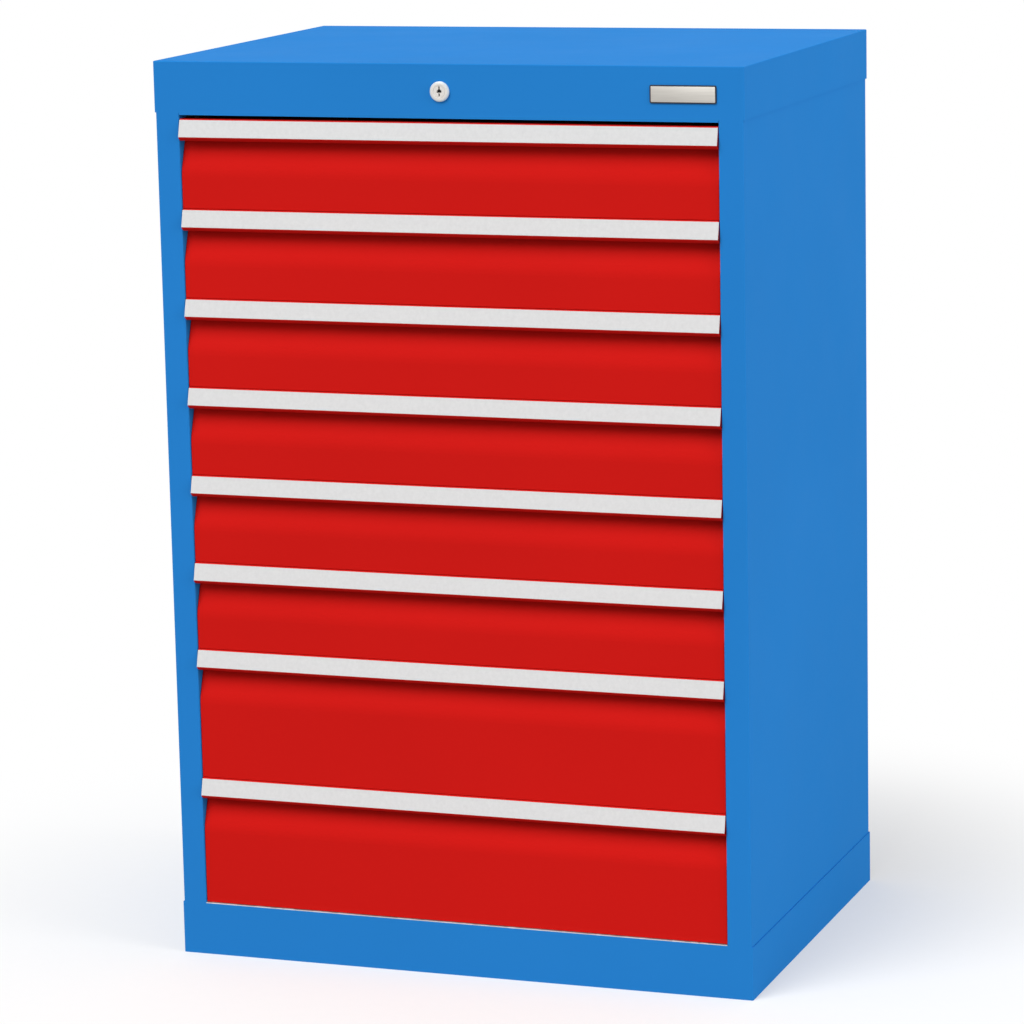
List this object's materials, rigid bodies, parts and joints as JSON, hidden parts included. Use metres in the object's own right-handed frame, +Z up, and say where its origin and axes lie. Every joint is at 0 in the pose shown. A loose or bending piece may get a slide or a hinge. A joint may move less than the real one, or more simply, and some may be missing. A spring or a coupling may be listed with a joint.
{
  "type": "drawer cabinet",
  "caption": "Tall steel drawer cabinet with folded fronts, full-width grips with label strips, telescopic runners and a central lock.",
  "frame": {"origin": "under the middle of the cabinet, on the floor", "axes": "+X to the right as one faces the drawers, the drawers open towards -Y, +Z up"},
  "size_m": [0.68, 0.5048, 1.022],
  "materials": {
    "blue_paint": "smooth satin powder coat",
    "red_paint": "smooth satin powder coat",
    "box_paint": "smooth satin powder coat",
    "label_strip": "pale grey, faintly mottled",
    "lock_metal": "satin nickel",
    "name_plate": "brushed, with a dark edge",
    "zinc_sheet": "zinc plated",
    "runner_steel": "bright zinc plated"
  },
  "bodies": {
    "cabinet": {"side_panel_left": "blue_paint", "side_panel_right": "blue_paint", "back_panel": "blue_paint", "top_cover": "blue_paint", "header_rail": "blue_paint", "plinth": "blue_paint", "floor_panel": "zinc_sheet", "front_uprights": "zinc_sheet", "rear_uprights": "zinc_sheet", "name_plate": "name_plate", "lock_housing": "lock_metal", "lock_nut": "zinc_sheet", "lock_guides": "zinc_sheet", "cabinet_rails": "runner_steel"},
    "drawer_1": {"drawer_front_1": "red_paint", "label_strip_1": "label_strip", "drawer_box_1": "box_paint", "drawer_rails_1": "runner_steel"},
    "middle_1": {"middle_rails_1": "runner_steel"},
    "drawer_2": {"drawer_front_2": "red_paint", "label_strip_2": "label_strip", "drawer_box_2": "box_paint", "drawer_rails_2": "runner_steel"},
    "middle_2": {"middle_rails_2": "runner_steel"},
    "drawer_3": {"drawer_front_3": "red_paint", "label_strip_3": "label_strip", "drawer_box_3": "box_paint", "drawer_rails_3": "runner_steel"},
    "middle_3": {"middle_rails_3": "runner_steel"},
    "drawer_4": {"drawer_front_4": "red_paint", "label_strip_4": "label_strip", "drawer_box_4": "box_paint", "drawer_rails_4": "runner_steel"},
    "middle_4": {"middle_rails_4": "runner_steel"},
    "drawer_5": {"drawer_front_5": "red_paint", "label_strip_5": "label_strip", "drawer_box_5": "box_paint", "drawer_rails_5": "runner_steel"},
    "middle_5": {"middle_rails_5": "runner_steel"},
    "drawer_6": {"drawer_front_6": "red_paint", "label_strip_6": "label_strip", "drawer_box_6": "box_paint", "drawer_rails_6": "runner_steel"},
    "middle_6": {"middle_rails_6": "runner_steel"},
    "drawer_7": {"drawer_front_7": "red_paint", "label_strip_7": "label_strip", "drawer_box_7": "box_paint", "drawer_rails_7": "runner_steel"},
    "middle_7": {"middle_rails_7": "runner_steel"},
    "drawer_8": {"drawer_front_8": "red_paint", "label_strip_8": "label_strip", "drawer_box_8": "box_paint", "drawer_rails_8": "runner_steel"},
    "middle_8": {"middle_rails_8": "runner_steel"},
    "key_core": {"lock_plug": "lock_metal", "lock_cam": "zinc_sheet"},
    "draw_bar": {"draw_bar": "zinc_sheet"},
    "lock_rail": {"lock_rail": "zinc_sheet"}
  },
  "joints": [
    {"name": "drawer_1_slide", "type": "slide", "parent": "cabinet", "child": "drawer_1", "axis": [0, -1, 0], "range_m": [0, 0.4]},
    {"name": "middle_1_slide", "type": "slide", "parent": "cabinet", "child": "middle_1", "axis": [0, -1, 0], "range_m": [0, 0.2]},
    {"name": "drawer_2_slide", "type": "slide", "parent": "cabinet", "child": "drawer_2", "axis": [0, -1, 0], "range_m": [0, 0.4]},
    {"name": "middle_2_slide", "type": "slide", "parent": "cabinet", "child": "middle_2", "axis": [0, -1, 0], "range_m": [0, 0.2]},
    {"name": "drawer_3_slide", "type": "slide", "parent": "cabinet", "child": "drawer_3", "axis": [0, -1, 0], "range_m": [0, 0.4]},
    {"name": "middle_3_slide", "type": "slide", "parent": "cabinet", "child": "middle_3", "axis": [0, -1, 0], "range_m": [0, 0.2]},
    {"name": "drawer_4_slide", "type": "slide", "parent": "cabinet", "child": "drawer_4", "axis": [0, -1, 0], "range_m": [0, 0.4]},
    {"name": "middle_4_slide", "type": "slide", "parent": "cabinet", "child": "middle_4", "axis": [0, -1, 0], "range_m": [0, 0.2]},
    {"name": "drawer_5_slide", "type": "slide", "parent": "cabinet", "child": "drawer_5", "axis": [0, -1, 0], "range_m": [0, 0.4]},
    {"name": "middle_5_slide", "type": "slide", "parent": "cabinet", "child": "middle_5", "axis": [0, -1, 0], "range_m": [0, 0.2]},
    {"name": "drawer_6_slide", "type": "slide", "parent": "cabinet", "child": "drawer_6", "axis": [0, -1, 0], "range_m": [0, 0.4]},
    {"name": "middle_6_slide", "type": "slide", "parent": "cabinet", "child": "middle_6", "axis": [0, -1, 0], "range_m": [0, 0.2]},
    {"name": "drawer_7_slide", "type": "slide", "parent": "cabinet", "child": "drawer_7", "axis": [0, -1, 0], "range_m": [0, 0.4]},
    {"name": "middle_7_slide", "type": "slide", "parent": "cabinet", "child": "middle_7", "axis": [0, -1, 0], "range_m": [0, 0.2]},
    {"name": "drawer_8_slide", "type": "slide", "parent": "cabinet", "child": "drawer_8", "axis": [0, -1, 0], "range_m": [0, 0.4]},
    {"name": "middle_8_slide", "type": "slide", "parent": "cabinet", "child": "middle_8", "axis": [0, -1, 0], "range_m": [0, 0.2]},
    {"name": "key_turn", "type": "hinge", "parent": "cabinet", "child": "key_core", "pos_m": [-0.002, -0.25, 0.992], "axis": [0, -1, 0], "range_deg": [0, 90]},
    {"name": "draw_bar_slide", "type": "slide", "parent": "cabinet", "child": "draw_bar", "axis": [1, 0, 0], "range_m": [0, 0.01415]},
    {"name": "lock_rail_slide", "type": "slide", "parent": "cabinet", "child": "lock_rail", "axis": [0, 0, -1], "range_m": [0, 0.01414]}
  ],
  "couplings": [
    {"joint": "middle_1_slide", "follows": "drawer_1_slide", "ratio": 0.5},
    {"joint": "middle_2_slide", "follows": "drawer_2_slide", "ratio": 0.5},
    {"joint": "middle_3_slide", "follows": "drawer_3_slide", "ratio": 0.5},
    {"joint": "middle_4_slide", "follows": "drawer_4_slide", "ratio": 0.5},
    {"joint": "middle_5_slide", "follows": "drawer_5_slide", "ratio": 0.5},
    {"joint": "middle_6_slide", "follows": "drawer_6_slide", "ratio": 0.5},
    {"joint": "middle_7_slide", "follows": "drawer_7_slide", "ratio": 0.5},
    {"joint": "middle_8_slide", "follows": "drawer_8_slide", "ratio": 0.5},
    {"joint": "draw_bar_slide", "follows": "lock_rail_slide", "ratio": 1},
    {"joint": "key_turn", "follows": "lock_rail_slide", "rad_per_m": 111.07}
  ]
}
